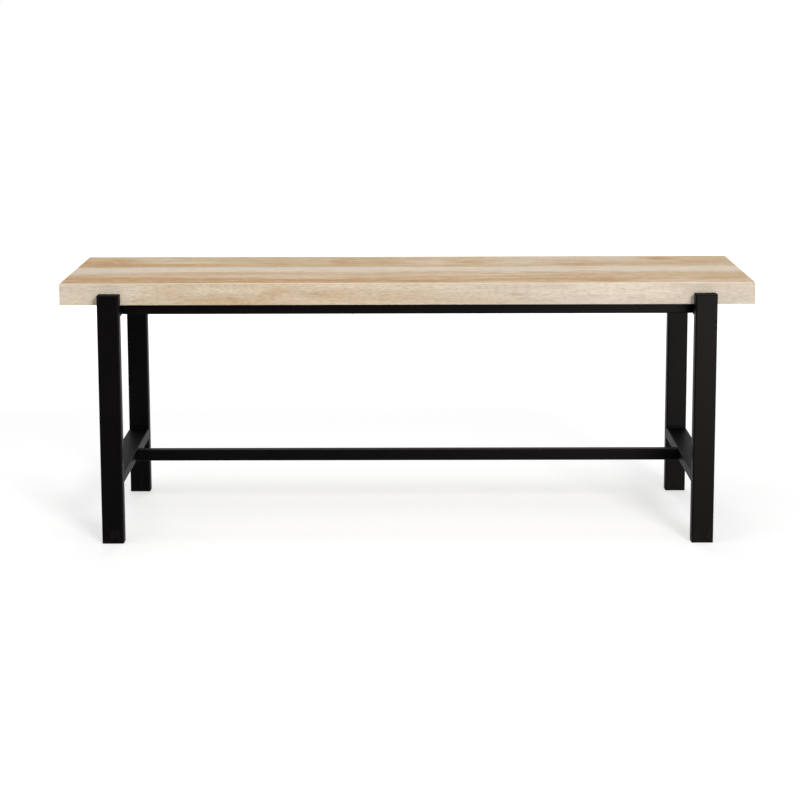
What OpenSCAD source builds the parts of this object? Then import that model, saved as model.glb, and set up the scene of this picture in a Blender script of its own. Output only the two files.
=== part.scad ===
// Entryway bench: an oak-print seat top held between the tops of four tube legs.
// Frame: +X along the bench, -Y is the front, +Z up.
// The origin is the centre of the footprint, on the floor.

/* [Seat top] */
// Length of the seat top, end to end
top_length = 1206; // [900:1:1500]
// Depth of the seat top, front to back
top_depth = 355; // [300:1:450]
// Thickness of the seat top, skins included
top_thickness = 38; // [30:0.5:50]
// Height of the seat above the floor
seat_height = 457; // [400:1:520]
// Thickness of the printed laminate on the upper face
laminate_t = 0.8; // [0.4:0.1:1.5]
// Thickness of the balancing sheet on the underside
backing_t = 0.6; // [0.3:0.1:1.2]
// Thickness of the banding on the four edges
edge_band_t = 1; // [0.4:0.1:2]

/* [Legs] */
// Width of a leg tube, along the bench
leg_width = 38; // [30:0.5:50]
// Depth of a leg tube, front to back
leg_depth = 25; // [20:0.5:40]
// Wall of a leg tube
leg_wall = 1.5; // [1:0.1:2.5]
// Outer corner radius of a leg tube
leg_corner_r = 2.5; // [1:0.1:4]
// How far the top runs past the legs at each end
top_overhang = 68; // [20:1:140]
// How far a leg rises above the underside of the top
leg_lap = 20; // [12:0.5:28]

/* [Cross members] */
// Height of the upper cross rails and of the side stretchers
cross_height = 20; // [18:0.5:30]
// Wall of a cross member
cross_wall = 1.2; // [0.8:0.1:2]
// Outer corner radius of a cross member
cross_corner_r = 2; // [1:0.1:4]
// Height of the side stretchers' underside above the floor
stretcher_lift = 104; // [60:1:220]

/* [Long rails and stretcher] */
// Side of the square tube of the long rails and the long stretcher
rail_size = 20; // [16:0.5:24]
// Wall of the square tube
rail_wall = 1.2; // [0.8:0.1:1.8]
// Outer corner radius of the square tube
rail_corner_r = 2; // [1:0.1:3]
// How far a long rail is set back from the edge of the top
rail_setback = 25; // [5:1:60]

/* [Feet and caps] */
// Thickness of a foot's flange, under the leg
foot_flange_t = 3; // [2:0.5:8]
// Thickness of a cap's flange, on top of the leg
cap_flange_t = 1.6; // [1:0.1:3]
// How far the plug of a foot or cap reaches into its leg
plug_depth = 14; // [8:1:30]
// Wall of the plug of a foot or cap
plug_wall = 1.8; // [1:0.1:3]

/* [Frame bolts] */
// Thread diameter of the bolts that join the beams to the side frames
bolt_d = 6; // [5:0.5:7]
// Diameter of a bolt's button head
bolt_head_d = 10.5; // [9:0.5:14]
// Height of a bolt's button head
bolt_head_h = 3.3; // [2.5:0.1:5]
// Width across flats of the hex socket in a bolt's head
hex_key = 4; // [3:0.5:5]
// Depth of the hex socket
hex_depth = 2; // [1:0.1:2.2]
// Outer diameter of a washer under a bolt's head
washer_d = 13; // [12:0.5:16]
// Thickness of a washer
washer_t = 1.2; // [0.8:0.1:2]
// Length of the threaded block welded into the end of a beam
nut_block_length = 18; // [12:1:30]
// How far a bolt stops short of its block's far face
bolt_end_gap = 2; // [0:0.5:5]

/* [Top screws] */
// Number of screws up through each long rail into the top
screws_per_rail = 4; // [2:1:6]
// Distance from a rail's end to its first screw
screw_end_margin = 211; // [60:1:250]
// Thread diameter of a top screw
screw_d = 4.5; // [3.5:0.5:5.5]
// Length of a top screw inside the seat top
screw_bite = 20; // [12:1:24]
// Length of a top screw's point
screw_point = 5; // [3:0.5:8]
// Diameter left at the very tip of a top screw
screw_tip_d = 0.6; // [0.3:0.1:1]
// Diameter of a top screw's wafer head
screw_head_d = 9; // [8:0.5:12]
// Height of a top screw's wafer head
screw_head_h = 1.6; // [1.2:0.1:2.5]
// Width of the slots of the cross recess in a screw's head
recess_width = 1.2; // [0.8:0.1:1.6]
// Length of the slots of the cross recess
recess_length = 4.4; // [3:0.1:5]
// Depth of the cross recess
recess_depth = 1; // [0.6:0.1:1.1]

/* [Fits] */
// Gap between the edge of the top and the legs that hold it
top_fit = 0.5; // [0.2:0.1:0.8]
// Clearance on each side of a plug or block inside its tube
plug_fit = 0.15; // [0.1:0.05:0.4]
// Radial clearance of a bolt or screw in a plain hole
hole_fit = 0.25; // [0.1:0.05:0.6]
// Radial clearance of a thread in its hole
thread_fit = 0.05; // [0.02:0.01:0.1]
// Depth left free beyond a screw's point
pilot_spare = 2; // [1:0.5:4]

/* [Hidden] */
$fn = 48;
// Smoothness of the spheres that the screw and bolt heads are cut from
dome_fn = 96;
// Smallest radius left at the inner corners of a tube
min_inner_r = 0.3;
// Overlap of a cutting shape past the face that it opens
cut = 1;

top_underside = seat_height - top_thickness;
core_length = top_length - 2 * edge_band_t;
core_depth = top_depth - 2 * edge_band_t;
core_thickness = top_thickness - laminate_t - backing_t;

// Places of the legs
leg_x = top_length / 2 - top_overhang - leg_width / 2;
leg_face_y = top_depth / 2 + top_fit;
leg_y = leg_face_y + leg_depth / 2;
leg_top = top_underside + leg_lap;
leg_tube_length = leg_top - cap_flange_t - foot_flange_t;

// Places of the cross members and beams
cross_length = 2 * leg_face_y;
beam_end_x = leg_x - leg_width / 2;
beam_length = 2 * beam_end_x;
rail_y = top_depth / 2 - rail_setback - rail_size / 2;
rail_z = top_underside - rail_size / 2;
cross_z = top_underside - cross_height / 2;
stretcher_z = stretcher_lift + cross_height / 2;

// Centre lines of the three long beams, front rail first, as [y, z]
front_rail_line = [-rail_y, rail_z];
back_rail_line = [rail_y, rail_z];
stretcher_line = [0, stretcher_z];
beam_lines = [front_rail_line, back_rail_line, stretcher_line];

// Places along the rails of the screws that hold the top
screw_pitch = (beam_length - 2 * screw_end_margin) / (screws_per_rail - 1);
screw_xs = [for (i = [0 : screws_per_rail - 1]) -beam_end_x + screw_end_margin + i * screw_pitch];

// ---- Shared shapes ----

module rounded_rect(w, d, r) {
    square([w - 2 * r, d], center = true);
    square([w, d - 2 * r], center = true);
    for (sx = [-1, 1], sy = [-1, 1])
        translate([sx * (w / 2 - r), sy * (d / 2 - r)]) circle(r);
}

// Outline of the space inside a tube, drawn in by a clearance
module bore_rect(w, d, wall, r, inset = 0) {
    inner_r = max(r - wall - inset, min_inner_r);
    rounded_rect(w - 2 * (wall + inset), d - 2 * (wall + inset), inner_r);
}

module tube(length, w, d, wall, r) {
    linear_extrude(length) difference() {
        rounded_rect(w, d, r);
        bore_rect(w, d, wall, r);
    }
}

// Turns a shape drawn along +Z so that it lies along +Y, centred
module lie_along_y(length) {
    translate([0, -length / 2, 0]) rotate([-90, 0, 0]) children();
}

// Turns a shape drawn along +Z so that it lies along +X, centred
module lie_along_x(length) {
    translate([-length / 2, 0, 0]) rotate([90, 0, 90]) children();
}

// Puts a shape at one end of each long beam, its +Z pointing out of the bench
module at_beam_ends() {
    for (side = [-1, 1], line = beam_lines)
        translate([side * beam_end_x, line[0], line[1]]) rotate([0, side * 90, 0]) children();
}

// A low round head, its flat face on z = 0
module domed_head(d, h) {
    dome_r = (d * d / 4 + h * h) / (2 * h);
    intersection() {
        translate([0, 0, h - dome_r]) sphere(dome_r, $fn = dome_fn);
        translate([-d, -d, 0]) cube([2 * d, 2 * d, h + cut]);
    }
}

// ---- Seat top ----

module top_core() {
    color("burlywood") difference() {
        translate([-core_length / 2, -core_depth / 2, top_underside + backing_t])
            cube([core_length, core_depth, core_thickness]);
        pilot_holes(screw_d / 2 + thread_fit);
    }
}

module top_laminate() {
    color("tan") translate([-core_length / 2, -core_depth / 2, seat_height - laminate_t])
        cube([core_length, core_depth, laminate_t]);
}

module backing_sheet() {
    color("wheat") difference() {
        translate([-core_length / 2, -core_depth / 2, top_underside])
            cube([core_length, core_depth, backing_t]);
        pilot_holes(screw_d / 2 + hole_fit);
    }
}

module pilot_holes(r) {
    for (x = screw_xs, side = [-1, 1])
        translate([x, side * rail_y, top_underside - cut])
            cylinder(h = cut + screw_bite + pilot_spare, r = r);
}

// Banding along the front (side = -1) or the back (side = 1)
module long_edge_band(side) {
    color("tan") translate([0, side * (top_depth - edge_band_t) / 2, top_underside + top_thickness / 2])
        cube([top_length, edge_band_t, top_thickness], center = true);
}

// Banding on the left (side = -1) or right (side = 1) end, between the long bands
module end_edge_band(side) {
    color("tan") translate([side * (top_length - edge_band_t) / 2, 0, top_underside + top_thickness / 2])
        cube([edge_band_t, core_depth, top_thickness], center = true);
}

// ---- Side frames ----

// Legs: end is -1 at the left and 1 at the right, side is -1 at the front and 1 at the back
module leg(end, side) {
    color("dimgray") translate([end * leg_x, side * leg_y, foot_flange_t])
        tube(leg_tube_length, leg_width, leg_depth, leg_wall, leg_corner_r);
}

// A flat tube across the bench between a front and a back leg
module cross_member(end, z) {
    translate([end * leg_x, 0, z]) lie_along_y(cross_length)
        tube(cross_length, leg_width, cross_height, cross_wall, cross_corner_r);
}

module bolt_holes() {
    hole_length = leg_width + 2 * cut;
    at_beam_ends() translate([0, 0, -cut]) cylinder(h = hole_length, r = bolt_d / 2 + hole_fit);
}

module cross_rail(end) {
    color("dimgray") difference() {
        cross_member(end, cross_z);
        bolt_holes();
    }
}

module side_stretcher(end) {
    color("dimgray") difference() {
        cross_member(end, stretcher_z);
        bolt_holes();
    }
}

// ---- Long beams ----

module beam(line) {
    translate([0, line[0], line[1]]) lie_along_x(beam_length)
        tube(beam_length, rail_size, rail_size, rail_wall, rail_corner_r);
}

module long_rail(line) {
    color("dimgray") difference() {
        beam(line);
        for (x = screw_xs)
            translate([x, line[0], line[1] - rail_size / 2 - cut])
                cylinder(h = rail_size + 2 * cut, r = screw_d / 2 + hole_fit);
    }
}

module long_stretcher() {
    color("dimgray") beam(stretcher_line);
}

// ---- Feet and caps ----

// A flange with the leg's outline and a hollow plug above it, its lower face on z = 0
module flanged_plug(flange_t) {
    linear_extrude(flange_t) rounded_rect(leg_width, leg_depth, leg_corner_r);
    linear_extrude(flange_t + plug_depth) difference() {
        bore_rect(leg_width, leg_depth, leg_wall, leg_corner_r, plug_fit);
        bore_rect(leg_width, leg_depth, leg_wall, leg_corner_r, plug_fit + plug_wall);
    }
}

module foot(end, side) {
    color("black") translate([end * leg_x, side * leg_y, 0]) flanged_plug(foot_flange_t);
}

module cap(end, side) {
    color("black") translate([end * leg_x, side * leg_y, leg_top]) mirror([0, 0, 1])
        flanged_plug(cap_flange_t);
}

// ---- Fasteners ----

// Threaded blocks, flush with the ends of the long beams
module nut_blocks() {
    color("silver") at_beam_ends() translate([0, 0, -nut_block_length])
        linear_extrude(nut_block_length) difference() {
            bore_rect(rail_size, rail_size, rail_wall, rail_corner_r, plug_fit);
            circle(bolt_d / 2 + thread_fit);
        }
}

// Bolts through the side frames into the blocks, heads on the outside
module frame_bolts() {
    shank_length = washer_t + leg_width + nut_block_length - bolt_end_gap;
    color("black") at_beam_ends() translate([0, 0, leg_width + washer_t]) difference() {
        union() {
            domed_head(bolt_head_d, bolt_head_h);
            translate([0, 0, -shank_length]) cylinder(h = shank_length + cut, d = bolt_d);
        }
        translate([0, 0, bolt_head_h - hex_depth])
            cylinder(h = hex_depth + cut, d = hex_key / cos(30), $fn = 6);
    }
}

module bolt_washers() {
    color("silver") at_beam_ends() translate([0, 0, leg_width]) difference() {
        cylinder(h = washer_t, d = washer_d);
        translate([0, 0, -cut]) cylinder(h = washer_t + 2 * cut, r = bolt_d / 2 + hole_fit);
    }
}

// One screw, its head's seat on z = 0 and its point up
module top_screw() {
    shank_length = rail_size + screw_bite - screw_point;
    difference() {
        union() {
            mirror([0, 0, 1]) domed_head(screw_head_d, screw_head_h);
            translate([0, 0, -screw_head_h / 2])
                cylinder(h = shank_length + screw_head_h / 2, d = screw_d);
            translate([0, 0, shank_length]) cylinder(h = screw_point, d1 = screw_d, d2 = screw_tip_d);
        }
        for (turn = [0, 90])
            rotate([0, 0, turn]) translate([0, 0, -screw_head_h])
                cube([recess_length, recess_width, 2 * recess_depth], center = true);
    }
}

module top_screws() {
    color("black") for (x = screw_xs, side = [-1, 1])
        translate([x, side * rail_y, top_underside - rail_size]) top_screw();
}

// ---- The bench ----

top_core();
top_laminate();
backing_sheet();
long_edge_band(-1);  // front_edge_band
long_edge_band(1);  // back_edge_band
end_edge_band(-1);  // left_edge_band
end_edge_band(1);  // right_edge_band
leg(-1, -1);  // front_left_leg
leg(1, -1);  // front_right_leg
leg(-1, 1);  // back_left_leg
leg(1, 1);  // back_right_leg
cross_rail(-1);  // left_cross_rail
cross_rail(1);  // right_cross_rail
side_stretcher(-1);  // left_side_stretcher
side_stretcher(1);  // right_side_stretcher
long_rail(front_rail_line);  // front_rail
long_rail(back_rail_line);  // back_rail
long_stretcher();
cap(-1, -1);  // front_left_cap
cap(1, -1);  // front_right_cap
cap(-1, 1);  // back_left_cap
cap(1, 1);  // back_right_cap
foot(-1, -1);  // front_left_foot
foot(1, -1);  // front_right_foot
foot(-1, 1);  // back_left_foot
foot(1, 1);  // back_right_foot
nut_blocks();
frame_bolts();
bolt_washers();
top_screws();
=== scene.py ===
# %% [markdown]
# # Entryway bench
# The bench is a thick board top, printed to look like pale oak, held between the tops of four
# black tube legs. Each pair of legs is welded to two flat cross tubes, and three square beams are
# bolted between the two side frames. Board, skins, banding, tubes, mouldings and fasteners are
# all separate things on the real bench, so each one is its own piece here.
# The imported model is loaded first. It gives every size and place, so nothing below is placed by
# eye.

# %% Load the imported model
import math

import bmesh
import bpy
from mathutils import Matrix, Vector


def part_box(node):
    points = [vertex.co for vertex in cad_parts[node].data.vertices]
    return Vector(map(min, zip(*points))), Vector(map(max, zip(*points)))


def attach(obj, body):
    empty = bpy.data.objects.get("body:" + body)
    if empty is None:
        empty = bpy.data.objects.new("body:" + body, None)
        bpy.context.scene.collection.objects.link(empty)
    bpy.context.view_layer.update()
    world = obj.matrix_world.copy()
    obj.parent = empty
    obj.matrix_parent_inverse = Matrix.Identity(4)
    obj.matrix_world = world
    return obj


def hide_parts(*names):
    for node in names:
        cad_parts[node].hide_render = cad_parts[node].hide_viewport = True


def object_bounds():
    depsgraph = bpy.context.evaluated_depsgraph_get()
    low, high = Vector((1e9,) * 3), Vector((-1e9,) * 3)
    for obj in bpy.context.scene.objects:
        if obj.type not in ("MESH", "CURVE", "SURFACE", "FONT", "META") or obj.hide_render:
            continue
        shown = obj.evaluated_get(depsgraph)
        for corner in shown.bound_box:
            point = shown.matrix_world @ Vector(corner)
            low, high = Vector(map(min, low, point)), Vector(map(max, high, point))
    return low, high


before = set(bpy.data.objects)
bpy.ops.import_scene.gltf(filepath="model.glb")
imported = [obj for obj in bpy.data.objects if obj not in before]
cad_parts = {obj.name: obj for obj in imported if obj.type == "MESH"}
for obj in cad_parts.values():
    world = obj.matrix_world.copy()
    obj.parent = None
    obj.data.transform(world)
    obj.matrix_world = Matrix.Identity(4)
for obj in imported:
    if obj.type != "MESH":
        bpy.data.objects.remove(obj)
cad_low, cad_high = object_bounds()
print("Packed model from", [round(v, 4) for v in cad_low], "to", [round(v, 4) for v in cad_high])

# %% [markdown]
# ## Camera
# The bench is seen from the front, a little above the seat, with a long lens from almost four
# metres. A camera that tips down makes upright legs converge, so this one tips down only a
# little, and a small vertical shift brings the bench to the middle of the frame.

# %% Camera
MM = 0.001
SENSOR_WIDTH = 36.0
CAMERA_PLACE = Vector((4.1, -3772.6, 975.0)) * MM
CAMERA_YAW = 0.0045
CAMERA_PITCH = 0.1531
CAMERA_ROLL = -0.003
CAMERA_LENS = 94.44
CAMERA_SHIFT = -0.12
CAMERA_REACH = 100.0

camera_data = bpy.data.cameras.new("bench_camera")
camera_data.sensor_width = SENSOR_WIDTH
camera_data.lens = CAMERA_LENS
camera_data.shift_y = CAMERA_SHIFT
camera_data.clip_end = CAMERA_REACH
camera = bpy.data.objects.new("bench_camera", camera_data)
bpy.context.scene.collection.objects.link(camera)
camera.matrix_world = (
    Matrix.Translation(CAMERA_PLACE)
    @ Matrix.Rotation(CAMERA_YAW, 4, "Z")
    @ Matrix.Rotation(math.pi / 2 - CAMERA_PITCH, 4, "X")
    @ Matrix.Rotation(CAMERA_ROLL, 4, "Z")
)
bpy.context.scene.camera = camera
print("Camera is", round(CAMERA_PLACE.length, 2), "m from the middle of the footprint")

# %% [markdown]
# ## Shader maths
# A finish is easiest to read as a formula. Nodes could be added and linked one by one, but thirty
# of them hide what they work out. The class below wraps the output of a shader node, so that
# adding or multiplying two of them adds a Math node, and every other kind of node comes from one
# method that takes the node's type, its settings and its sockets.

# %% A wire that can be used in a formula
class Wire:
    """The output of a shader node, for use in a formula."""

    def __init__(self, tree, socket=None):
        self.tree = tree
        self.socket = socket

    def node(self, kind, settings, sockets, out=0):
        """Adds a node: first its settings, then the values or links of its sockets."""
        made = self.tree.nodes.new("ShaderNode" + kind)
        for name, value in settings.items():
            setattr(made, name, value)
        for key, value in sockets.items():
            if isinstance(value, Wire):
                self.tree.links.new(value.socket, made.inputs[key])
            else:
                made.inputs[key].default_value = value
        return Wire(self.tree, made.outputs[out])

    def math(self, operation, *values):
        """A Math node on wires and numbers."""
        return self.node("Math", {"operation": operation}, dict(enumerate(values)))

    def __add__(self, other):
        return self.math("ADD", self, other)

    def __radd__(self, other):
        return self.math("ADD", other, self)

    def __sub__(self, other):
        return self.math("SUBTRACT", self, other)

    def __rsub__(self, other):
        return self.math("SUBTRACT", other, self)

    def __mul__(self, other):
        return self.math("MULTIPLY", self, other)

    def __rmul__(self, other):
        return self.math("MULTIPLY", other, self)

    def largest(self, other):
        return self.math("MAXIMUM", self, other)

    def step(self, low, high):
        """0 below low and 1 above high, with a smooth rise between them."""
        if low > high:
            return 1 - self.step(high, low)
        settings = {"interpolation_type": "SMOOTHSTEP"}
        return self.node("MapRange", settings, {0: self, 1: low, 2: high, 3: 0.0, 4: 1.0})

    def axis(self, name):
        """One coordinate of a place: X, Y or Z."""
        return self.node("SeparateXYZ", {}, {0: self}, name)

    def place(self, x, y, z):
        """A place made of three coordinates."""
        return self.node("CombineXYZ", {}, {0: x, 1: y, 2: z})

    def noise(self, waves, detail=3.0, roughness=0.55, shift=(0, 0, 0)):
        """Noise about 0.5, with its own number of waves a metre on each axis, or one for all."""
        scale = waves if isinstance(waves, tuple) else (waves, waves, waves)
        spot = self.node("Mapping", {}, {"Vector": self, "Location": shift, "Scale": scale})
        sockets = {"Vector": spot, "Scale": 1.0, "Detail": detail, "Roughness": roughness}
        return self.node("TexNoise", {}, sockets)

    def mix(self, factor, first, second):
        """Mixes two colours. The node itself keeps the factor between 0 and 1."""
        settings = {"data_type": "RGBA", "clamp_factor": True}
        return self.node("Mix", settings, {0: factor, 6: first, 7: second}, 2)

    def scaled(self, factor):
        """A colour made lighter or darker."""
        return self.node("VectorMath", {"operation": "SCALE"}, {0: self, "Scale": factor})

    def bump(self, strength, depth):
        """The relief of a height between 0 and 1, for a shader's Normal."""
        sockets = {"Strength": strength, "Distance": depth, "Height": self}
        return self.node("Bump", {}, sockets)


print("A wire can be added, subtracted and multiplied")

# %% Paint and finishes
def paint(red, green, blue):
    """A colour from its usual 0 to 255 numbers, as the linear colour that a shader works in."""
    def linear(level):
        level = level / 255
        return level / 12.92 if level <= 0.04045 else ((level + 0.055) / 1.055) ** 2.4
    return (linear(red), linear(green), linear(blue), 1.0)


def new_finish(name, roughness, specular):
    """A material, its shader, and its Object coordinates as a wire.

    The nodes set the roughness point by point. The plain number given here is what shows where
    a viewer can't follow them.
    """
    made = bpy.data.materials.new(name)
    made.use_nodes = True
    shader = made.node_tree.nodes["Principled BSDF"]
    shader.inputs["Roughness"].default_value = roughness
    shader.inputs["Specular IOR Level"].default_value = specular
    spot = Wire(made.node_tree).node("TexCoord", {}, {}, "Object")
    return made, shader, spot


def connect(shader, **wires):
    """Joins wires to a shader's sockets, named with an underscore for each space."""
    for name, wire in wires.items():
        wire.tree.links.new(wire.socket, shader.inputs[name.replace("_", " ")])


print("A mid grey paint is", [round(v, 3) for v in paint(128, 128, 128)[:3]])

# %% [markdown]
# ## Studio
# The bench stands on a plain pale floor in soft light. The world lights it evenly from all round.
# One broad lamp overhead and a smaller one high in front give the top and the front their light,
# and a lamp behind lights the back, with no gloss of its own.
# Black paint shows little but what it reflects. A low strip lamp that gives gloss and nothing
# else puts a faint sheen on the legs, without lighting the wood a second time.
# The background has to be white, and more light would bleach the wood. So the world shows as
# white to the eye and in reflections while it lights at its own level, and the floor adds some
# white of its own in the same way, more of it further out. Near the bench it keeps the shadow.

# %% World
SURROUND_LIGHT = 0.42
WHITE = (1.0, 1.0, 1.0, 1.0)
scene = bpy.context.scene
scene.view_settings.view_transform = "Standard"

world = bpy.data.worlds.new("studio")
world.use_nodes = True
scene.world = world
sky = world.node_tree
sky.nodes.clear()


def seen_directly(wire):
    """1 for what the eye sees, straight or in a reflection or through glass, else 0."""
    camera_ray, glossy_ray, through_ray = (
        wire.node("LightPath", {}, {}, name)
        for name in ("Is Camera Ray", "Is Glossy Ray", "Is Transmission Ray")
    )
    return camera_ray.largest(glossy_ray.largest(through_ray))


base = Wire(sky)
level = SURROUND_LIGHT + seen_directly(base) * (1.0 - SURROUND_LIGHT)
glow = base.node("Background", {}, {"Color": WHITE, "Strength": level})
world_out = sky.nodes.new("ShaderNodeOutputWorld")
sky.links.new(glow.socket, world_out.inputs["Surface"])
print("World light for the bench is", SURROUND_LIGHT, "of the white that shows")

# %% Lamps
def softbox(name, place, aim, width, height, watts):
    """A broad rectangular lamp, turned towards a point."""
    data = bpy.data.lights.new(name, "AREA")
    data.shape = "RECTANGLE"
    data.size = width
    data.size_y = height
    data.energy = watts
    lamp = bpy.data.objects.new(name, data)
    scene.collection.objects.link(lamp)
    lamp.location = place
    lamp.rotation_euler = (Vector(aim) - Vector(place)).to_track_quat("-Z", "Y").to_euler()
    lamp.visible_camera = False
    return lamp


bench_middle = (cad_low + cad_high) / 2
lower_right = (0.5, 0.0, 0.25)
WARM_GLEAM = (1.0, 0.88, 0.84)
overhead = softbox(
    "overhead_softbox", place=(-0.4, -1.0, 3.0), aim=bench_middle,
    width=2.8, height=1.8, watts=20.0,
)
right = softbox(
    "right_softbox", place=(1.7, -4.5, 2.6), aim=bench_middle,
    width=1.1, height=1.1, watts=138.0,
)
behind = softbox(
    "behind_softbox", place=(-0.3, 3.8, 2.4), aim=bench_middle,
    width=2.4, height=2.0, watts=72.0,
)
behind.visible_glossy = False
sheen = softbox(
    "sheen_softbox", place=(1.5, -2.3, 0.2), aim=lower_right,
    width=1.6, height=0.36, watts=124.0,
)
sheen.data.color = WARM_GLEAM
sheen.visible_diffuse = False
for lamp in (overhead, right, behind, sheen):
    print(lamp.name, "is", round((lamp.location - bench_middle).length, 2), "m from the bench")

# %% Floor
FLOOR_SIZE = 60.0
FLOOR_DROP = 0.2 * MM
FLOOR_OWN_WHITE = 0.51
FLOOR_PAINT = (0.58, 0.58, 0.58, 1.0)
BRIGHT_FROM, BRIGHT_TO = 1.0, 4.5

bpy.ops.object.select_all(action="DESELECT")
bpy.ops.mesh.primitive_plane_add(size=FLOOR_SIZE, location=(0, 0, -FLOOR_DROP))
floor = bpy.context.object
floor.name = "studio_floor"
floor_finish = bpy.data.materials.new("pale_floor")
floor_finish.use_nodes = True
floor_tree = floor_finish.node_tree
floor_tree.nodes.clear()
base = Wire(floor_tree)
matt = base.node("BsdfDiffuse", {}, {"Color": FLOOR_PAINT})
spot = base.node("TexCoord", {}, {}, "Object")
distance = base.node("VectorMath", {"operation": "LENGTH"}, {0: spot}, "Value")
far_out = distance.step(BRIGHT_FROM, BRIGHT_TO)
own_white = FLOOR_OWN_WHITE + far_out * (1.0 - FLOOR_OWN_WHITE)
share = seen_directly(base) * own_white
white = base.node("Emission", {}, {"Color": WHITE, "Strength": share})
floor_look = base.node("AddShader", {}, {0: matt, 1: white})
floor_out = floor_tree.nodes.new("ShaderNodeOutputMaterial")
floor_tree.links.new(floor_look.socket, floor_out.inputs["Surface"])
floor.data.materials.append(floor_finish)
print("Floor is", FLOOR_SIZE, "m across and lies", FLOOR_DROP / MM, "mm under the feet")

# %% [markdown]
# ## Oak print
# The top is not solid wood. It is a paper printed with pale oak boards, pressed with a fine open
# grain so that it looks and feels like timber. One wood texture repeated over it would look like
# plastic. What makes it read as oak is, from large to small: boards of different tone, warm and
# pale patches that drift along the grain, long wavy flames, fine streaks, and short dark pores.
# Each of those is one layer of stretched noise, and the layers are added up.

# %% Grain of oak
FLAME_RATE, FLAME_WANDER = 310.0, 34.0
PORE_LENGTHS, PORE_CROWDS = (0.56, 0.68), (0.40, 0.62)


def grain_place(spot, run, cross, seed):
    """Coordinates with the grain along X. run and cross name the object's own axes."""
    return spot.place(spot.axis(run), spot.axis(cross), seed)


def oak_layers(grain):
    """Slow wander across the grain, then flames, streaks, flecks and pores from 0 to 1.

    Every noise has few waves a metre along the grain and many across it.
    """
    wander = grain.noise((1.6, 9.0, 1.0), 2.0, 0.5) - 0.5
    phase = grain.axis("Y") * FLAME_RATE + wander * FLAME_WANDER
    flames = phase.math("SINE", phase) * 0.5 + 0.5
    broad = grain.noise((5.0, 55.0, 1.0), 3.0, 0.6, (3.1, 0.7, 0))
    fine = grain.noise((13.0, 330.0, 1.0), 3.0, 0.65, (8.3, 2.9, 0))
    flecks = grain.noise((95.0, 430.0, 1.0), 3.0, 0.7, (5.7, 3.3, 0))
    dashes = grain.noise((34.0, 980.0, 1.0), 2.0, 0.5, (1.9, 6.1, 0))
    crowd = grain.noise((5.0, 60.0, 1.0), 2.0, 0.5, (4.4, 1.2, 0))
    pores = dashes.step(*PORE_LENGTHS) * crowd.step(*PORE_CROWDS)
    return wander, flames, broad, fine, flecks, pores


def shaded(colour, layers, dark, pale):
    """A colour pulled to dark where a layer is low and to pale where it is high."""
    for layer, amount in layers:
        colour = colour.mix((0.5 - layer) * amount, colour, dark)
        colour = colour.mix((layer - 0.5) * amount, colour, pale)
    return colour


def patch(grain, run, cross, length, width, strength):
    """A soft oval, placed and sized in mm: full strength at its middle and gone at its rim."""
    middle, size = (run * MM, cross * MM, 0), (length * MM, width * MM, 1.0)
    sockets = {"Vector": grain, "Location": middle, "Scale": size}
    spot = grain.node("Mapping", {"vector_type": "TEXTURE"}, sockets)
    settings = {"gradient_type": "SPHERICAL"}
    return grain.node("TexGradient", settings, {"Vector": spot}, "Fac") * strength


def blots(grain, patches):
    """Several patches in one mask, which stays at 1 where they add up to more."""
    first, *others = (patch(grain, *numbers) for numbers in patches)
    total = sum(others, first)
    return total.math("MINIMUM", total, 1.0)


GRAIN_STRENGTH, GRAIN_DEPTH = 0.35, 0.12 * MM


def pressed_grain(fine, flames, pores):
    """What the press leaves: fine ridges, low flames, and pores as small pits."""
    height = fine * 0.5 + flames * 0.15 - pores * 0.9
    return height.bump(GRAIN_STRENGTH, GRAIN_DEPTH)


SHADE, GLEAM = paint(158, 120, 82), paint(236, 222, 198)
print("Flames are", round(math.tau / FLAME_RATE / MM, 1), "mm apart")

# %% [markdown]
# ### Top
# The print on the seat shows three boards. The back and front ones are tan with warm brown
# patches, and the one between them is pale. The joint between the back and the pale board is
# crisp, with a thin dark line. The joint in front is softer, and wanders.
# Noise alone would put the patches anywhere, so the large ones are set out one by one, as a
# printer lays out a sheet, and noise only frays their edges along the grain.

# %% Boards of the seat
oak_top, oak_top_shader, spot = new_finish("oak_print_top", 0.8, 0.08)
grain = grain_place(spot, "X", "Y", 0.0)
wander, flames, broad, fine, flecks, pores = oak_layers(grain)
drift = grain.noise((3.0, 14.0, 1.0), 3.0, 0.6, (5.5, 9.1, 0)) - 0.5
jitter = grain.noise((9.0, 60.0, 1.0), 3.0, 0.6, (2.2, 4.7, 0)) - 0.5
mottle = grain.noise((36.0, 75.0, 1.0), 3.0, 0.6, (7.7, 5.2, 0))
streaks = (broad - 0.5) * 1.1 + (fine - 0.5) * 1.2 + (mottle - 0.5) * 0.5
moved = grain.place(
    grain.axis("X") + drift * (80 * MM) + jitter * (80 * MM),
    grain.axis("Y") + wander * (20 * MM) + jitter * (30 * MM),
    0.0,
)
run = moved.axis("X")
cross = grain.axis("Y") + wander * (10 * MM) + jitter * (6 * MM)

BACK_JOINT, BACK_BLUR = 30 * MM, 2 * MM
FRONT_JOINT, FRONT_BLUR = -66 * MM, 4 * MM
FADE_BEHIND, FADE_BEFORE = 45 * MM, 10 * MM
back_board = cross.step(BACK_JOINT - BACK_BLUR, BACK_JOINT + BACK_BLUR)
crisp = cross.step(FRONT_JOINT + FRONT_BLUR, FRONT_JOINT - FRONT_BLUR)
blurred = cross.step(FRONT_JOINT + FADE_BEHIND, FRONT_JOINT - FADE_BEFORE)
to_right = run.step(-100 * MM, 100 * MM)
front_board = crisp * (1 - to_right) + blurred * to_right
past_left_end = run.step(-480 * MM, -400 * MM)
tan_rim = (cross + streaks * (30 * MM)).step(-20 * MM, -44 * MM) * past_left_end

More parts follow.
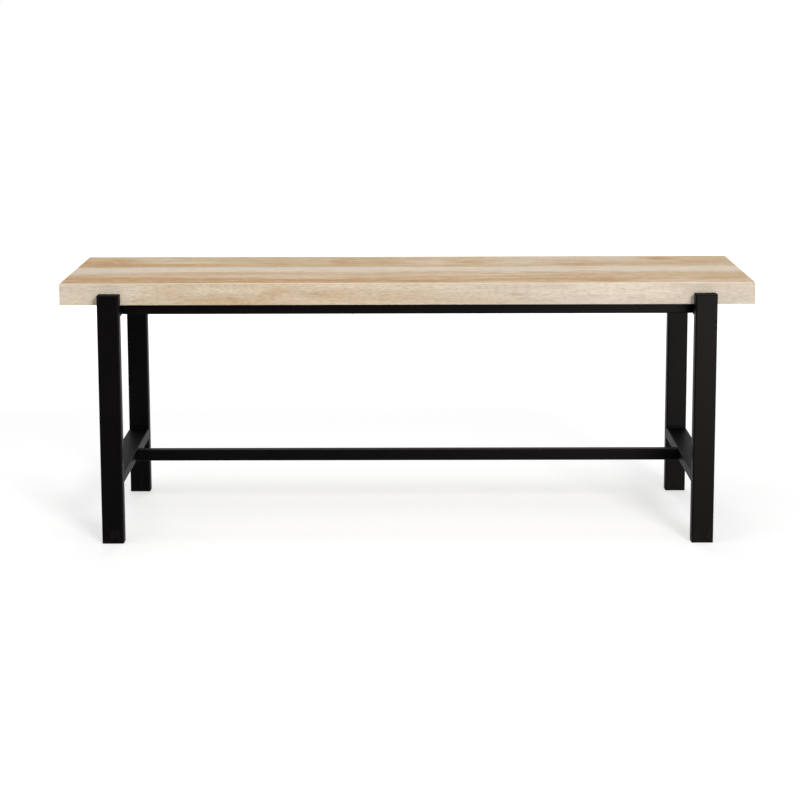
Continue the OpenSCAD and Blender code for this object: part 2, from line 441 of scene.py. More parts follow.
TAN_BACK = paint(202, 179, 147)
PALE = paint(225, 213, 195)
TAN_FRONT = paint(197, 167, 131)
TAN_MIDDLE = paint(201, 179, 148)
boards = grain.mix(tan_rim, PALE, TAN_MIDDLE)
boards = boards.mix(back_board, boards, TAN_BACK)
boards = boards.mix(front_board, boards, TAN_FRONT)
print("The pale board is", round((BACK_JOINT - FRONT_JOINT) / MM), "mm wide")

# %% Patches of the seat
WARM_PATCHES = [
    (-570, 80, 150, 80, 1.2), (-530, 128, 60, 22, 0.5), (-400, 55, 120, 34, 0.9),
    (-118, 95, 40, 75, 0.8), (-245, 70, 80, 60, 0.5), (-45, 85, 70, 60, 0.6),
    (102, 80, 50, 60, 0.8), (150, 105, 90, 35, 0.4), (318, 75, 85, 60, 0.8),
    (400, 75, 60, 30, 0.4), (475, 138, 60, 32, 0.7), (520, 85, 140, 55, 0.6),
    (-560, -120, 150, 60, 1.0), (-445, -118, 70, 34, 0.9), (-390, -146, 170, 42, 1.1),
    (-240, -148, 190, 36, 1.0), (-110, -140, 90, 38, 1.0), (-20, -142, 100, 36, 0.9),
    (60, -150, 110, 36, 0.9), (180, -130, 140, 30, 0.7), (345, -140, 95, 45, 0.9),
    (480, -82, 150, 28, 0.6), (290, -70, 90, 30, 0.4), (-280, -50, 220, 16, 0.6),
    (-510, -52, 130, 20, 0.7),
]
LIGHT_PATCHES = [
    (-480, 140, 80, 32, 0.6), (-400, 98, 150, 26, 0.8), (50, 95, 70, 42, 0.8),
    (200, 95, 70, 60, 0.6), (-300, -84, 340, 18, 1.0), (-180, -108, 170, 22, 0.8),
    (305, 5, 90, 50, 0.8), (-200, 8, 260, 26, 0.5), (500, -150, 170, 30, 0.6),
    (180, -160, 90, 18, 0.5), (-20, -100, 100, 16, 0.4), (60, -75, 170, 28, 0.5),
    (500, 42, 160, 14, 0.8), (220, -58, 130, 26, 0.6), (350, 8, 70, 24, 0.7),
    (140, -106, 80, 20, 0.5), (-560, -104, 50, 16, 0.5),
]
GREY_PATCHES_AND_PAINTED_SHEEN = [
    (-520, -15, 180, 60, 0.9), (400, 140, 80, 50, 0.6), (250, 150, 160, 36, 0.6),
    # The two long strips at 172 mm lie along the back edge: a painted reflection, the grey sheen
    # the seat shows there at a low angle. The others are grey print.
    (590, 0, 80, 100, 0.5), (520, -165, 170, 36, 0.6), (-200, 172, 500, 22, 0.8),
    (300, 172, 400, 22, 0.7), (-150, -48, 260, 18, 0.4), (260, 0, 320, 60, 0.5),
    (240, 100, 260, 60, 0.4), (330, -90, 260, 60, 0.3),
]
DARK_PATCHES = [
    (-108, -142, 40, 20, 0.8), (-400, -150, 70, 18, 0.6), (95, 42, 38, 9, 0.8),
    (245, 44, 12, 8, 0.6), (315, 54, 40, 16, 0.7), (-550, 62, 60, 24, 0.6),
    (478, 140, 36, 18, 0.7), (340, -148, 60, 24, 0.7), (-440, -118, 30, 14, 0.5),
    (-118, 105, 22, 45, 0.5), (20, -156, 70, 14, 0.6), (-210, -150, 80, 14, 0.5),
]
PATCH_RIM, PATCH_CORE = 0.0, 0.72
colour = boards
for patches, strength, tone in (
    (WARM_PATCHES, 0.95, paint(188, 149, 105)),
    (LIGHT_PATCHES, 0.75, paint(222, 207, 182)),
    (GREY_PATCHES_AND_PAINTED_SHEEN, 0.70, paint(216, 206, 192)),
    (DARK_PATCHES, 0.60, paint(168, 132, 92)),
):
    mask = (blots(moved, patches) + streaks).step(PATCH_RIM, PATCH_CORE)
    colour = colour.mix(mask * strength, colour, tone)
    print(len(patches), "patches, mixed in by up to", strength)

# %% Grain of the seat
LINE_BEFORE, LINE_BEHIND, LINE_STRENGTH = 3 * MM, 5 * MM, 0.45
front_side = cross.step(BACK_JOINT - LINE_BEFORE, BACK_JOINT)
back_side = cross.step(BACK_JOINT + LINE_BEHIND, BACK_JOINT)
off_ends = run.step(-360 * MM, -300 * MM) * run.step(420 * MM, 300 * MM)
joint_line = front_side * back_side * (off_ends * LINE_STRENGTH)
colour = colour.mix(joint_line, colour, paint(160, 132, 100))
layers = ((broad, 1.1), (mottle, 1.0), (fine, 2.1), (flecks, 1.2))
colour = shaded(colour, layers, SHADE, GLEAM)
colour = colour.scaled(0.985 + run.step(-0.05, 0.25) * 0.03 + (flames - 0.5) * 0.05)
colour = colour.mix(pores * 0.34, colour, paint(140, 110, 80))
roughness = 0.78 + (fine - 0.5) * 0.18 + pores * 0.08
relief = pressed_grain(fine, flames, pores)
connect(oak_top_shader, Base_Color=colour, Roughness=roughness, Normal=relief)
print("Oak top has", len(oak_top.node_tree.nodes), "nodes")

# %% [markdown]
# ### Edges
# The banding on the four edges has its own print, cut from another sheet, so it doesn't line up
# with the top. It is paler, warmer towards the left and greyer towards the right, with short dark
# dashes. The grain runs along each strip, so the strips on the two ends use the same finish
# turned a quarter. The seat's finish could simply run down over the edge, but on the real bench
# the break between the two prints is what tells banding from solid wood.
# Where the strip was trimmed flush with the seat its print is cut through, and the paler plastic
# behind the print shows as a thin light line. That line is also a painted highlight: it is drawn
# brighter and wider than the cut would be, to stand for the light caught by the rounded edge.

# %% Patches of the edges
BAND_RIM, BAND_CORE = 0.05, 0.9
BAND_WARM_AND_PAINTED_SHADOW = [
    (-415, 438, 50, 12, 0.6), (-320, 428, 90, 16, 0.8), (-233, 440, 40, 16, 0.9),
    (-134, 436, 60, 16, 0.75), (-60, 430, 80, 14, 0.6), (15, 432, 60, 18, 0.45),
    # The patch low down at -560 mm is a painted shadow, the soft shadow of the front left leg on
    # the edge; the others are warm print.
    (-270, 424, 200, 8, 0.6), (-560, 423, 60, 10, 0.9), (480, 453, 160, 6, 0.4),
    (150, 425, 140, 9, 0.5),
]
BAND_PALE_AND_PAINTED_LIGHT = [
    # The first patch, over the left end, is partly the paler print there and partly painted light
    # that evens out the shadow of the front left leg.
    (-590, 440, 150, 60, 2.4), (-480, 446, 60, 14, 0.5), (-320, 443, 70, 12, 0.5),
    (-265, 436, 28, 9, 0.5), (-90, 452, 120, 7, 0.7), (60, 450, 90, 10, 0.5),
    (240, 444, 60, 18, 0.6), (375, 444, 130, 24, 1.2), (500, 436, 100, 22, 0.3),
]
BAND_DARK = [
    (-155, 438, 26, 4, 1.0), (-165, 433, 34, 3, 0.8), (192, 437, 30, 5, 1.0),
    (10, 442, 25, 4, 0.6), (-330, 437, 30, 3, 0.5), (205, 431, 22, 3, 0.8),
    (75, 430, 60, 12, 0.4), (-300, 430, 12, 10, 0.5), (-250, 428, 10, 10, 0.5),
]
print(len(BAND_WARM_AND_PAINTED_SHADOW + BAND_PALE_AND_PAINTED_LIGHT + BAND_DARK), "patches on each pair of strips")

# %% Oak print on the edges
TOP_FACE = cad_high.z
ARRIS = 0.7 * MM
TRIM_LINE = TOP_FACE - 1.5 * ARRIS
TRIM_BLUR = 0.3 * MM


def oak_banding(name, run_axis, seed):
    """The edge print, with its grain along one of the object's axes."""
    made, shader, spot = new_finish(name, 0.7, 0.15)
    grain = grain_place(spot, run_axis, "Z", seed)
    _, flames, broad, fine, flecks, pores = oak_layers(grain)
    jitter = grain.noise((10.0, 90.0, 1.0), 3.0, 0.6, (6.2, 0.4, 0)) - 0.5
    mottle = grain.noise((26.0, 150.0, 1.0), 3.0, 0.6, (2.6, 8.8, 0))
    streaks = (broad - 0.5) * 0.6 + (mottle - 0.5) * 0.8 + (flecks - 0.5) * 0.5
    run = grain.axis("X") + jitter * (100 * MM)
    up = grain.axis("Y") + jitter * (6 * MM)
    moved = grain.place(run, up, seed)
    to_right = run.step(-100 * MM, 300 * MM)

    colour = grain.mix(to_right, paint(216, 198, 171), paint(213, 201, 183))
    # The pale patches hold painted light at the left end, and the warm ones a painted shadow
    # beside the front left leg.
    for patches, strength, tone in (
        (BAND_WARM_AND_PAINTED_SHADOW, 0.75, paint(201, 168, 129)),
        (BAND_PALE_AND_PAINTED_LIGHT, 0.80, paint(229, 217, 197)),
    ):
        mask = (blots(moved, patches) + streaks).step(BAND_RIM, BAND_CORE)
        colour = colour.mix(mask * strength, colour, tone)
    colour = colour.mix(blots(moved, BAND_DARK) * 0.45, colour, paint(160, 128, 94))
    layers = ((broad, 0.5), (mottle, 0.6), (fine, 0.8), (flecks, 1.9 - to_right * 0.5))
    colour = shaded(colour, layers, SHADE, GLEAM)
    colour = colour.scaled(1.0 + (flames - 0.5) * 0.05)
    colour = colour.mix(pores * 0.42, colour, paint(150, 118, 86))
    # Thin pale line at the top edge: partly the paler plastic of the cut, partly a painted
    # highlight of the rounded edge.
    trim_line_and_painted_highlight = spot.axis("Z").step(TRIM_LINE - TRIM_BLUR, TRIM_LINE + TRIM_BLUR)
    colour = colour.mix(trim_line_and_painted_highlight * 0.85, colour, paint(236, 224, 204))
    roughness = 0.58 + (fine - 0.5) * 0.18 + pores * 0.12
    relief = pressed_grain(fine, flames, pores)
    connect(shader, Base_Color=colour, Roughness=roughness, Normal=relief)
    return made


long_banding = oak_banding("oak_print_long_edges", "X", 0.0)
end_banding = oak_banding("oak_print_end_edges", "Y", 0.4)
print("Banding finishes:", long_banding.name, "and", end_banding.name)

# %% [markdown]
# ## Board and backing
# Under the print the top is particleboard: pressed chips of wood and glue, which only show in the
# screw holes. The underside is closed by a plain paper that keeps the board flat, a little darker
# and cooler than the print. A flat brown would nearly do for both. But chips each have their own
# tone, which cells of a Voronoi texture give, and paper has faint fibres, clouds and specks,
# which are three noises.

# %% Particleboard
board, shader, spot = new_finish("particleboard", 0.9, 0.2)
cells = spot.node("TexVoronoi", {"feature": "F1"}, {"Vector": spot, "Scale": 380.0}, "Color")
chip_tone = cells.axis("X")
dust = spot.noise(900.0)
colour = spot.mix(chip_tone, paint(176, 142, 98), paint(214, 186, 142))
colour = colour.scaled(0.85 + dust * 0.3)
relief = (chip_tone * 0.6 + dust).bump(0.6, 0.6 * MM)
connect(shader, Base_Color=colour, Roughness=0.82 + dust * 0.16, Normal=relief)
print("Particleboard has", len(board.node_tree.nodes), "nodes")

# %% Backing paper
paper, shader, spot = new_finish("backing_paper", 0.7, 0.25)
grain = grain_place(spot, "X", "Y", 2.0)
fibres = grain.noise((14.0, 160.0, 1.0), 4.0, 0.6)
clouds = grain.noise((3.0, 6.0, 1.0), 2.0, 0.5)
specks = grain.noise((420.0, 520.0, 1.0), 1.0, 0.5).step(0.66, 0.74)
colour = grain.mix(fibres.step(0.35, 0.65), paint(190, 166, 134), paint(203, 181, 150))
colour = colour.scaled(0.94 + clouds * 0.12)
colour = colour.mix(specks * 0.25, colour, paint(140, 112, 82))
relief = (fibres + specks).bump(0.25, 0.1 * MM)
connect(shader, Base_Color=colour, Roughness=0.66 + fibres * 0.12, Normal=relief)
print("Backing paper has", len(paper.node_tree.nodes), "nodes")

# %% [markdown]
# ## Powder coat
# The frame is powder coated: a black plastic powder, sprayed on and baked, which gives a satin
# skin with a faint orange peel. A dark grey colour would look right in this light and too grey in
# stronger light, because most of what one sees of black paint is what it reflects. So the colour
# stays close to black and the work is in the gloss: a low specular level, a roughness that changes
# where hands have been, and a very fine relief. Low down, shoes have rubbed it a little.

# %% Powder coat
POWDER_SPECULAR = 0.029
SHOE_HEIGHT = 50 * MM
powder, shader, spot = new_finish("black_powder_coat", 0.45, POWDER_SPECULAR)
peel = spot.noise(1100.0, 2.0, 0.5)
sand = spot.noise(4200.0, 1.0, 0.5)
handling = spot.noise((22.0, 22.0, 9.0), 4.0, 0.6, (3.0, 1.0, 2.0))
scrapes = spot.noise((160.0, 160.0, 60.0), 4.0).step(0.45, 0.75)
low_down = spot.axis("Z").step(SHOE_HEIGHT, 0.0) * scrapes
colour = spot.mix(handling.step(0.3, 0.7), paint(4, 3, 3), paint(7, 5, 5))
colour = colour.mix(low_down * 0.35, colour, paint(44, 41, 38))
roughness = 0.37 + handling * 0.12 + sand * 0.05 + low_down * 0.15
relief = (peel + sand * 0.35).bump(1.0, 0.04 * MM)
connect(shader, Base_Color=colour, Roughness=roughness, Normal=relief)
print("Powder coat has", len(powder.node_tree.nodes), "nodes")

# %% [markdown]
# ## Plastic and plated steel
# The caps and feet are moulded plastic with a finer, duller grain than the paint, scuffed where
# the feet touch the floor. The washers and threaded blocks are zinc plated: a bright metal whose
# crystals differ a little in tone. The bolts and screws are blackened steel, a thin dark oxide
# kept under oil, which shines in blotches. Each is one noise for the tone, one for the gloss and
# one for the touch of the surface, at the scale that the real one has.

# %% Moulded plastic
SCUFF_HEIGHT = 3 * MM
plastic, shader, spot = new_finish("black_moulded_plastic", 0.6, 0.035)
pebble = spot.noise(2600.0, 2.0, 0.5)
rub = spot.noise((300.0, 300.0, 120.0), 4.0, 0.6)
scuffed = spot.axis("Z").step(SCUFF_HEIGHT, 0.0) * rub.step(0.42, 0.62)
colour = spot.mix(rub.step(0.3, 0.7), paint(5, 4, 4), paint(9, 7, 7))
colour = colour.mix(scuffed * 0.5, colour, paint(60, 57, 54))
roughness = 0.54 + rub * 0.14 + scuffed * 0.1
connect(shader, Base_Color=colour, Roughness=roughness, Normal=pebble.bump(0.5, 0.05 * MM))
print("Moulded plastic has", len(plastic.node_tree.nodes), "nodes")

# %% Zinc plate
zinc, shader, spot = new_finish("zinc_plate", 0.35, 0.5)
shader.inputs["Metallic"].default_value = 1.0
spangle = spot.noise(700.0)
brushed = spot.noise((3000.0, 400.0, 400.0), 2.0)
colour = spot.mix(spangle.step(0.3, 0.7), paint(168, 170, 172), paint(198, 199, 196))
roughness = 0.24 + spangle * 0.26
connect(shader, Base_Color=colour, Roughness=roughness, Normal=brushed.bump(0.2, 0.03 * MM))
print("Zinc plate has", len(zinc.node_tree.nodes), "nodes")

# %% Blackened steel
blackened, shader, spot = new_finish("blackened_steel", 0.38, 0.35)
oil = spot.noise(500.0, 4.0, 0.6)
marks = spot.noise(2200.0, 2.0)
colour = spot.mix(oil.step(0.3, 0.7), paint(20, 19, 20), paint(34, 33, 33))
roughness = 0.28 + oil * 0.24
connect(shader, Base_Color=colour, Roughness=roughness, Normal=marks.bump(0.25, 0.03 * MM))
print("Blackened steel has", len(blackened.node_tree.nodes), "nodes")

# %% [markdown]
# ## Carried-over pieces
# The board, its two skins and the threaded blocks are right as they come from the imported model:
# flat sheets and plain blocks, mostly out of sight. Modelling them again would add nothing, so
# they keep their shape and only get their finish.

# %% Give the carried-over pieces their finish
for node_name, finish in {
    "top_core": board,
    "top_laminate": oak_top,
    "backing_sheet": paper,
    "nut_blocks": zinc,
}.items():
    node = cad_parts[node_name]
    for slot in node.material_slots:
        slot.material = finish
    print(node_name, "gets", finish.name)

# %% [markdown]
# ## Working by hand in edit mode
# New pieces start as a primitive of the right size in the right place, and are shaped with the
# same tools that one would use by hand. A mesh could also be written as lists of points, but then
# a bevel or a wall would have to be worked out point by point.
# Operators act on whatever is selected, so these helpers clear the selection first and then pick
# faces or edges by where they are or which way they face.

# %% Start a piece
X, Y, Z = 0, 1, 2


def only(piece):
    """Selects one piece and makes it active."""
    bpy.ops.object.select_all(action="DESELECT")
    piece.select_set(True)
    bpy.context.view_layer.objects.active = piece


def settle():
    """Moves the place, turn and size of the selected object into its mesh."""
    bpy.ops.object.transform_apply(location=True, rotation=True, scale=True)
    return bpy.context.object


def box_at(low, high):
    """A box primitive between two corners."""
    bpy.ops.object.select_all(action="DESELECT")
    low, high = Vector(low), Vector(high)
    bpy.ops.mesh.primitive_cube_add(size=1, location=(low + high) / 2, scale=high - low)
    return settle()


def edit():
    """Opens the active piece for editing."""
    bpy.ops.object.mode_set(mode="EDIT")


def leave():
    """Closes the piece that is open for editing."""
    bpy.ops.object.mode_set(mode="OBJECT")


print("Axes by number: X", X, "Y", Y, "Z", Z)

# %% Pick faces and edges
ALIGNED = 0.999
NEAR = 0.01 * MM


def pick(piece, kind, test):
    """In edit mode, selects the faces or edges that pass a test."""
    bpy.ops.mesh.select_mode(type=kind)
    bpy.ops.mesh.select_all(action="DESELECT")
    mesh = bmesh.from_edit_mesh(piece.data)
    for part in mesh.faces if kind == "FACE" else mesh.edges:
        if test(part):
            part.select_set(True)
    mesh.select_flush_mode()
    bmesh.update_edit_mesh(piece.data)


def runs_along(edge, axis):
    """True for an edge along an axis."""
    start, end = (vertex.co for vertex in edge.verts)
    return abs((end - start).normalized()[axis]) > ALIGNED


def looks_along(face, axis):
    """True for a face square to an axis."""
    return abs(face.normal[axis]) > ALIGNED


def lies_at(part, axis, value):
    """True for a face or edge that lies in a plane across an axis."""
    return all(abs(vertex.co[axis] - value) < NEAR for vertex in part.verts)


print("A point counts as on a plane within", NEAR / MM, "mm")

# %% Modifiers, cutting and shading
SAME_POINT = 0.002 * MM
SMOOTH_ANGLE = math.radians(35)


def apply_modifier(piece, kind, **settings):
    """Adds a modifier, sets it and applies it."""
    only(piece)
    modifier = piece.modifiers.new(kind.title(), kind)
    for name, value in settings.items():
        setattr(modifier, name, value)
    bpy.ops.object.modifier_apply(modifier=modifier.name)


def carve(piece, cutter):
    """Cuts the shape of another object out of a piece."""
    apply_modifier(piece, "BOOLEAN", operation="DIFFERENCE", solver="EXACT", object=cutter)
    bpy.data.objects.remove(cutter)
    edit()
    bpy.ops.mesh.select_all(action="SELECT")
    bpy.ops.mesh.remove_doubles(threshold=SAME_POINT)
    leave()


def smooth(piece):
    """Smooth shading on the rounded parts, with the flat faces kept flat."""
    only(piece)
    bpy.ops.object.shade_smooth_by_angle(angle=SMOOTH_ANGLE)
    apply_modifier(piece, "WEIGHTED_NORMAL", keep_sharp=True, weight=100)


print("Edges sharper than", round(math.degrees(SMOOTH_ANGLE)), "degrees stay sharp")

# %% Copy, join and finish
def twin(piece, name, shift=(0, 0, 0), turn=0.0, axis="Z"):
    """A copy with its own mesh, turned about the origin and then moved."""
    only(piece)
    bpy.ops.object.duplicate(linked=False)
    copy = bpy.context.object
    copy.matrix_world = Matrix.Translation(shift) @ Matrix.Rotation(turn, 4, axis)
    settle()
    copy.name = name
    return copy


def repeated(first, nodes):
    """A piece made for the first node, with a copy of it at the place of every other node."""
    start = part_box(nodes[0])[0]
    return [first] + [twin(first, name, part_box(name)[0] - start) for name in nodes[1:]]


def gather(pieces, name):
    """Joins several pieces into one."""
    bpy.ops.object.select_all(action="DESELECT")
    for piece in pieces:
        piece.select_set(True)
    bpy.context.view_layer.objects.active = pieces[0]
    bpy.ops.object.join()
    pieces[0].name = name
    return pieces[0]


def hand_over(piece, finish):
    """Gives a finished piece its material."""
    piece.data.materials.clear()
    piece.data.materials.append(finish)


print("Edit-mode helpers are ready")

# %% [markdown]
# ## Edge banding
# The banding is a plastic strip a millimetre thick, glued on and trimmed. The trimming leaves its
# outer edges slightly rounded, and that small round catches the light along the front of the top;
# a painted highlight along the banding's top edge adds to it. Each strip is a box whose outer
# edges are bevelled. The front and back strips cover the ends of the other two, so the upright
# corners of the top are theirs to round.

# %% Edge banding
ARRIS_STEPS = 4
bandings = {
    "front_edge_band": (Y, -1, long_banding),
    "back_edge_band": (Y, 1, long_banding),
    "left_edge_band": (X, -1, end_banding),
    "right_edge_band": (X, 1, end_banding),
}
for node_name, (axis, side, finish) in bandings.items():
    low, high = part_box(node_name)
    strip = box_at(low, high)
    outer = high[axis] if side > 0 else low[axis]
    edit()
    pick(strip, "EDGE", lambda edge: lies_at(edge, axis, outer) and not (
        axis == X and runs_along(edge, Z)
    ))
    bpy.ops.mesh.bevel(offset=ARRIS, segments=ARRIS_STEPS, affect="EDGES")
    leave()
    smooth(strip)
    strip.name = node_name + "_strip"
    hand_over(strip, finish)
    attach(strip, "root")
    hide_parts(node_name)
    print(strip.name, "is", round((high - low).length, 3), "m corner to corner")

# %% [markdown]
# ## Tubes
# Legs, cross tubes and beams are cold-formed steel tube: thin walls with small round corners. A
# solid bar would look the same from outside, but the real thing is hollow. So each tube starts as
# a box, its long edges are bevelled, its ends are opened, and a wall is grown inwards.

# %% Tubes
CORNER_STEPS = 6
LEG_WALL, LEG_CORNER = 1.5 * MM, 2.5 * MM
TUBE_WALL, TUBE_CORNER = 1.2 * MM, 2.0 * MM


def tube(node_name, axis, wall, corner):
    """A length of hollow tube that fills the box of a CAD node."""
    low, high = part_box(node_name)
    piece = box_at(low, high)
    edit()
    pick(piece, "EDGE", lambda edge: runs_along(edge, axis))
    bpy.ops.mesh.bevel(offset=corner, segments=CORNER_STEPS, affect="EDGES")
    pick(piece, "FACE", lambda face: looks_along(face, axis))
    bpy.ops.mesh.delete(type="FACE")
    leave()
    apply_modifier(piece, "SOLIDIFY", thickness=wall, offset=-1.0, use_even_offset=True)
    return piece


def frame_piece(piece, node_name):
    """Finishes a steel piece of the frame."""
    smooth(piece)
    piece.name = node_name + "_tube"
    hand_over(piece, powder)
    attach(piece, "root")
    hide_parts(node_name)


print("Walls are", LEG_WALL / MM, "mm in the legs and", TUBE_WALL / MM, "mm in the other tubes")

# %% Legs
legs = ["front_left_leg", "front_right_leg", "back_left_leg", "back_right_leg"]
leg_tubes = repeated(tube(legs[0], Z, LEG_WALL, LEG_CORNER), legs)
for piece, name in zip(leg_tubes, legs):
    frame_piece(piece, name)
print(len(leg_tubes), "leg tubes of", len(leg_tubes[0].data.polygons), "faces each")

# %% [markdown]
# ### Bolt and screw holes
# Holes are drilled through the cross tubes for the frame bolts and through the long rails for the
# screws that hold the top. A dark disc would pass for a hole under a bolt head, but an empty hole
# is what holds the bolt, so they are cut with a round cutter, as a drill would.

# %% Where the fasteners are
HOLE_FIT = 0.25 * MM
BOLT_RADIUS = 3.0 * MM
SCREW_RADIUS = 2.25 * MM
ROUND_STEPS = 32
SCREW_END_MARGIN = 211.0 * MM
SCREWS_PER_RAIL = 4
beams = ["front_rail", "back_rail", "long_stretcher"]
beam_middles = [(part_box(name)[0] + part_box(name)[1]) / 2 for name in beams]
beam_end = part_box("front_rail")[1].x
screw_pitch = 2 * (beam_end - SCREW_END_MARGIN) / (SCREWS_PER_RAIL - 1)
screw_runs = [
    -beam_end + SCREW_END_MARGIN + index * screw_pitch for index in range(SCREWS_PER_RAIL)
]


def drill(piece, middle, axis, radius, length):
    """Drills a round hole along an axis."""
    turn = (0, math.pi / 2, 0) if axis == X else (0, 0, 0)
    bpy.ops.object.select_all(action="DESELECT")
    bpy.ops.mesh.primitive_cylinder_add(
        vertices=ROUND_STEPS, radius=radius, depth=length, location=middle, rotation=turn
    )
    carve(piece, settle())


print("Screws at", [round(value, 3) for value in screw_runs], "along each rail")

# %% Cross tubes of the side frames
DRILL_LENGTH = 60 * MM
for level, ends in {
    "cross_rail": beam_middles[:2],
    "side_stretcher": beam_middles[2:],
}.items():
    for side in ("left", "right"):
        name = f"{side}_{level}"
        piece = tube(name, Y, TUBE_WALL, TUBE_CORNER)
        low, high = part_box(name)
        for middle in ends:
            spot = Vector(((low.x + high.x) / 2, middle.y, middle.z))
            drill(piece, spot, X, BOLT_RADIUS + HOLE_FIT, DRILL_LENGTH)
        frame_piece(piece, name)
        print(name, "has", len(ends), "bolt holes")

# %% Long beams
for name, middle in zip(beams, beam_middles):
    piece = tube(name, X, TUBE_WALL, TUBE_CORNER)
    if name != "long_stretcher":
        for run_place in screw_runs:
            spot = Vector((run_place, middle.y, middle.z))
            drill(piece, spot, Z, SCREW_RADIUS + HOLE_FIT, DRILL_LENGTH)
    frame_piece(piece, name)
    print(name, "is", round(2 * beam_end, 3), "m long")

# %% [markdown]
# ## Welds
# The cross tubes are welded to the legs. A weld is a small rippled fillet in the corner between
# two tubes. Relief in the paint could draw the ripples, but not the fillet that fills the corner.
# So one bead is made from a bar in the corner: its outer edge is rounded off, it is cut into short
# lengths, and every other cut is drawn in a little. The rest are turned copies.

# %% One weld bead
BEAD_LEG = 3.2 * MM
BEAD_LENGTH = 32 * MM
BEAD_RIPPLES = 13
BEAD_ROUND, BEAD_ROUND_STEPS = 0.8 * BEAD_LEG, 4
BEAD_HOLLOW, BEAD_TIP = 0.84, 0.45
last_ring = 2 * BEAD_RIPPLES
ring_step = BEAD_LENGTH / last_ring


def ring_size(ring):
    """The share of its full size that a cut across the bead has."""
    if ring in (0, last_ring):
        return BEAD_TIP
    return 1.0 if ring % 2 else BEAD_HOLLOW


bead = box_at((-BEAD_LENGTH / 2, 0, -BEAD_LEG), (BEAD_LENGTH / 2, BEAD_LEG, 0))
edit()
pick(bead, "EDGE", lambda edge: runs_along(edge, X)
     and lies_at(edge, Y, BEAD_LEG) and lies_at(edge, Z, -BEAD_LEG))
bpy.ops.mesh.bevel(offset=BEAD_ROUND, segments=BEAD_ROUND_STEPS, affect="EDGES")
pick(bead, "EDGE", lambda edge: runs_along(edge, X))
bpy.ops.mesh.subdivide_edgering(number_cuts=last_ring - 1, smoothness=0)
for ring in range(last_ring + 1):
    plane = -BEAD_LENGTH / 2 + ring * ring_step
    size = ring_size(ring)
    pick(bead, "EDGE", lambda edge: lies_at(edge, X, plane))
    bpy.ops.transform.resize(value=(1, size, size), center_override=(plane, 0, 0))
leave()
apply_modifier(bead, "SUBSURF", levels=1, render_levels=1)
print("A bead has", len(bead.data.polygons), "faces")

# %% All the weld beads
leg_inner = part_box("front_left_leg")[1].y
for side in ("left", "right"):
    rail_low, rail_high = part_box(f"{side}_cross_rail")
    bar_low, bar_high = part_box(f"{side}_side_stretcher")
    middle_x = (rail_low.x + rail_high.x) / 2
    beads = []
    for index, (level, above) in enumerate(
        ((rail_low.z, False), (bar_low.z, False), (bar_high.z, True))
    ):
        at_front = Vector((middle_x, leg_inner, level))
        at_back = Vector((middle_x, -leg_inner, level))
        front_turn = (math.pi, "Y") if above else (0.0, "Z")
        back_turn = (math.pi, "X") if above else (math.pi, "Z")
        beads.append(twin(bead, f"front_bead_{index}", at_front, *front_turn))
        beads.append(twin(bead, f"back_bead_{index}", at_back, *back_turn))
    welds = gather(beads, f"{side}_weld_beads")
    smooth(welds)
    hand_over(welds, powder)
    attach(welds, "root")
    print(welds.name, "has", len(beads), "beads")
bpy.data.objects.remove(bead)

# %% [markdown]
# ## Caps and feet
# Plastic mouldings close the leg tubes. Each has a flange that sits on the end of the tube, with
# its outer edge softened by the mould, and a hollow plug that grips inside. A flange alone would
# do for the eye, but the plug is what holds the real one in place.
# A cap and a foot differ only in the thickness of the flange and which way up they go, so one of
# each is modelled with the same few steps: bevel the box, inset its inner face, extrude the plug,
# and carve it hollow.

# %% Caps and feet
PLUG_DEPTH = 14 * MM
PLUG_WALL = 1.8 * MM
PLUG_FIT = 0.15 * MM
MOULD_STEPS = 3
CAP_SOFTENING, FOOT_SOFTENING = 0.6 * MM, 0.9 * MM
CUTTER_EXTRA = 1 * MM


def end_moulding(node_name, upward, softening):
    """A flange and plug. upward is 1 for a cap, whose flange is on top, and -1 for a foot."""
    low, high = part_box(node_name)
    outer = high.z if upward > 0 else low.z
    seat = outer - upward * ((high.z - low.z) - PLUG_DEPTH)
    piece = box_at((low.x, low.y, min(outer, seat)), (high.x, high.y, max(outer, seat)))
    edit()
    pick(piece, "EDGE", lambda edge: runs_along(edge, Z))
    bpy.ops.mesh.bevel(offset=LEG_CORNER, segments=CORNER_STEPS, affect="EDGES")
    pick(piece, "EDGE", lambda edge: lies_at(edge, Z, outer))
    bpy.ops.mesh.bevel(offset=softening, segments=MOULD_STEPS, affect="EDGES")
    pick(piece, "FACE", lambda face: lies_at(face, Z, seat))
    bpy.ops.mesh.inset(thickness=LEG_WALL + PLUG_FIT)
    bpy.ops.mesh.extrude_region_move(
        TRANSFORM_OT_translate={"value": (0, 0, -upward * PLUG_DEPTH)}
    )
    leave()
    inside = Vector((1, 1, 0)) * (LEG_WALL + PLUG_FIT + PLUG_WALL)
    mouth = seat - upward * (PLUG_DEPTH + CUTTER_EXTRA)
    hollow_low = Vector((low.x, low.y, min(mouth, seat))) + inside
    hollow_high = Vector((high.x, high.y, max(mouth, seat))) - inside
    carve(piece, box_at(hollow_low, hollow_high))
    smooth(piece)
    return piece


for kind, upward, softening in (("cap", 1, CAP_SOFTENING), ("foot", -1, FOOT_SOFTENING)):
    nodes = [leg.replace("leg", kind) for leg in legs]
    mouldings = repeated(end_moulding(nodes[0], upward, softening), nodes)
    for piece, name in zip(mouldings, nodes):
        piece.name = name + "_moulding"
        hand_over(piece, plastic)
        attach(piece, "root")
        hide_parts(name)
    print(len(mouldings), kind, "mouldings of", len(mouldings[0].data.polygons), "faces")

# %% [markdown]
# ## Fasteners
# Bolts, washers and screws are turned parts. Stacked cylinders and a flattened ball would give
# their shapes roughly, but with buried faces and no thread. So each is made as on a lathe: half of
# its outline is drawn point by point from a single vertex, and spun round its axis. The outline of
# a thread is a zigzag, a ring for each turn, which at this size looks like the real spiral. The
# sockets are then cut into the heads.

